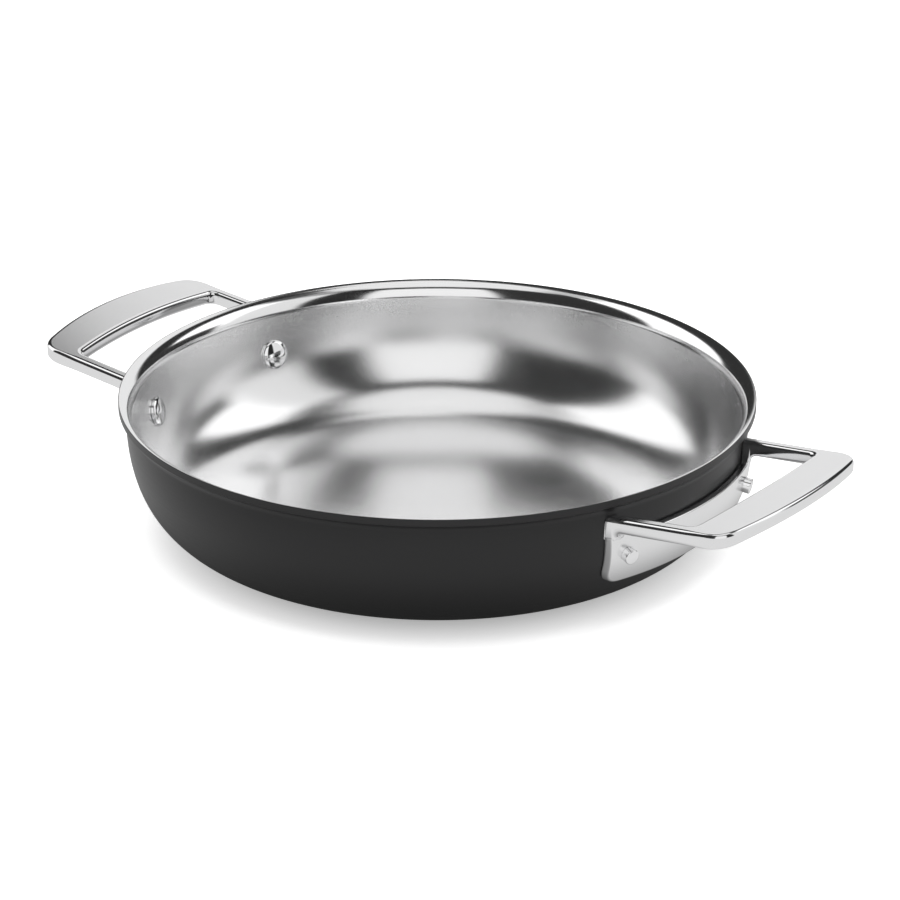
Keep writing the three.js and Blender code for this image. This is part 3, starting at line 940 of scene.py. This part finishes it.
def studio_world(stage):
    """White for the camera and for reflections, and an even soft light for everything else."""
    world = bpy.data.worlds.new("studio")
    bpy.context.scene.world = world
    shader = Shader(world)
    camera, mirror = light_paths(shader)
    white = shader.node("ShaderNodeBackground", {}, {"Color": WHITE, "Strength": 1.0})
    soft = shader.node("ShaderNodeBackground", {}, {"Color": WHITE, "Strength": stage.ambient})
    both = shader.node("ShaderNodeMixShader", {}, {"Fac": camera + mirror, 1: soft, 2: white})
    shader.node("ShaderNodeOutputWorld", {}, {"Surface": both})


def softbox(stage):
    """A square softbox straight overhead."""
    lamp = bpy.data.lights.new("softbox", "AREA")
    lamp.shape = "SQUARE"
    lamp.size = stage.softbox_size
    lamp.energy = stage.softbox_power
    box = bpy.data.objects.new("softbox", lamp)
    box.location = (0.0, 0.0, stage.softbox_height)
    box.visible_glossy = False
    bpy.context.collection.objects.link(box)


def photo_camera(stage):
    """The camera at the photograph's viewing angle."""
    data = bpy.data.cameras.new("camera")
    data.lens = stage.lens
    data.sensor_width = SENSOR_WIDTH
    data.shift_x = stage.shift_x
    data.shift_y = stage.shift_y
    camera = bpy.data.objects.new("camera", data)
    back = Vector(
        (
            math.sin(stage.azimuth) * math.cos(stage.elevation),
            -math.cos(stage.azimuth) * math.cos(stage.elevation),
            math.sin(stage.elevation),
        )
    )
    camera.location = back * stage.distance + Vector((0.0, 0.0, stage.aim_height))
    camera.rotation_mode = "QUATERNION"
    camera.rotation_quaternion = (-back).to_track_quat("-Z", "Y")
    bpy.context.collection.objects.link(camera)
    bpy.context.scene.camera = camera


# Operators


class PAN_OT_stage(bpy.types.Operator):
    """Makes the camera, the pale floor, the soft light and the cards"""

    bl_idname = "pan.stage"
    bl_label = "Make stage"

    def execute(self, context):
        stage = context.scene.pan_stage
        context.scene.view_settings.view_transform = "Standard"
        photo_camera(stage)
        studio_world(stage)
        softbox(stage)
        span = np.array([-FLOOR_HALF, 0.0, FLOOR_HALF])
        x, y = np.meshgrid(span, span)
        stage_sheet("floor", np.stack([x, y, 0 * x], axis=-1), floor_material(stage))
        for order, (name, (turns, rises, level)) in enumerate(STUDIO_CARDS.items()):
            distance = CARD_DISTANCE + CARD_SPACING * order
            studio_card(name, turns, rises, level, distance, stage.azimuth - math.pi / 2)
        return {"FINISHED"}


class PAN_OT_bowl(bpy.types.Operator):
    """Makes the steel liner, the aluminium core and the anodised shell"""

    bl_idname = "pan.bowl"
    bl_label = "Make bowl"

    def execute(self, context):
        bowl = context.scene.pan_bowl
        finish = context.scene.pan_finish
        wall = (finish.wall_low, finish.wall_high, finish.wall_satin)
        steel = metal_material(
            "satin_steel", finish.steel, finish.steel_satin, finish.steel_polish, LINER_GRAIN, wall
        )
        mill = metal_material(
            "core_aluminium", finish.core, finish.core_mill, finish.core_mill, CORE_GRAIN
        )
        profile = liner_profile(bowl)
        # The lip is polished from the start of its bend.
        polished = (profile[:, 1] > wall_end(bowl)[1]).astype(float)
        liner = grid_shell(revolve(profile, TURN_STEPS), polished[:, None])
        make_piece("steel_liner", [liner], steel)
        core = grid_shell(revolve(core_profile(bowl), CORE_STEPS))
        make_piece("aluminium_core", [core], mill)
        shell = grid_shell(revolve(shell_profile(bowl), TURN_STEPS))
        make_piece("anodised_shell", [shell], anodised_material(finish))
        return {"FINISHED"}


class PAN_OT_handles(bpy.types.Operator):
    """Makes both loop handles, each with its bracket"""

    bl_idname = "pan.handles"
    bl_label = "Make handles"

    def execute(self, context):
        bowl = context.scene.pan_bowl
        handle = context.scene.pan_handle
        finish = context.scene.pan_finish
        steel = metal_material(
            "handle_steel", finish.handle, finish.handle_satin, finish.handle_polish, HANDLE_GRAIN
        )
        right = [handle_loop(bowl, handle), handle_bracket(bowl, handle)]
        make_piece("right_handle", right, steel)
        make_piece("left_handle", [turned_half(shell) for shell in right], steel)
        return {"FINISHED"}


class PAN_OT_rivets(bpy.types.Operator):
    """Makes the four rivets"""

    bl_idname = "pan.rivets"
    bl_label = "Make rivets"

    def execute(self, context):
        bowl = context.scene.pan_bowl
        handle = context.scene.pan_handle
        rivet = context.scene.pan_rivet
        finish = context.scene.pan_finish
        steel = metal_material(
            "rivet_steel", finish.rivet, finish.rivet_polish, finish.rivet_polish, RIVET_GRAIN
        )
        grid = revolve(rivet_profile(bowl, handle, rivet), RIVET_STEPS)
        places = {
            "rivet_right_front": -rivet.turn,
            "rivet_right_back": rivet.turn,
            "rivet_left_back": math.pi - rivet.turn,
            "rivet_left_front": math.pi + rivet.turn,
        }
        for name, turn in places.items():
            pose = np.array(rivet_pose(bowl, rivet, turn))
            placed = grid @ pose[:3, :3].T + pose[:3, 3]
            make_piece(name, [grid_shell(placed, 1.0)], steel)
        return {"FINISHED"}


class PAN_PT_sidebar(bpy.types.Panel):
    """Settings of the pan, and the steps that build it"""

    bl_idname = "PAN_PT_sidebar"
    bl_label = "Two-handled frying pan"
    bl_space_type = "VIEW_3D"
    bl_region_type = "UI"
    bl_category = "Pan"

    def draw(self, context):
        for key, (group, operator) in PARTS.items():
            box = self.layout.box()
            box.label(text=group.__doc__)
            for name in group.__annotations__:
                box.prop(getattr(context.scene, key), name)
            if operator:
                box.operator(operator.bl_idname)


PARTS = {
    "pan_stage": (PAN_PG_stage, PAN_OT_stage),
    "pan_finish": (PAN_PG_finish, None),
    "pan_bowl": (PAN_PG_bowl, PAN_OT_bowl),
    "pan_handle": (PAN_PG_handle, PAN_OT_handles),
    "pan_rivet": (PAN_PG_rivet, PAN_OT_rivets),
}


def register():
    for key, (group, operator) in PARTS.items():
        bpy.utils.register_class(group)
        setattr(bpy.types.Scene, key, bpy.props.PointerProperty(type=group))
        if operator:
            bpy.utils.register_class(operator)
    bpy.utils.register_class(PAN_PT_sidebar)


def unregister():
    bpy.utils.unregister_class(PAN_PT_sidebar)
    for key, (group, operator) in reversed(PARTS.items()):
        if operator:
            bpy.utils.unregister_class(operator)
        delattr(bpy.types.Scene, key)
        bpy.utils.unregister_class(group)


def main():
    """Makes the stage and every piece."""
    register()
    bpy.ops.pan.stage()
    bpy.ops.pan.bowl()
    bpy.ops.pan.handles()
    bpy.ops.pan.rivets()


if __name__ == "__main__":
    main()
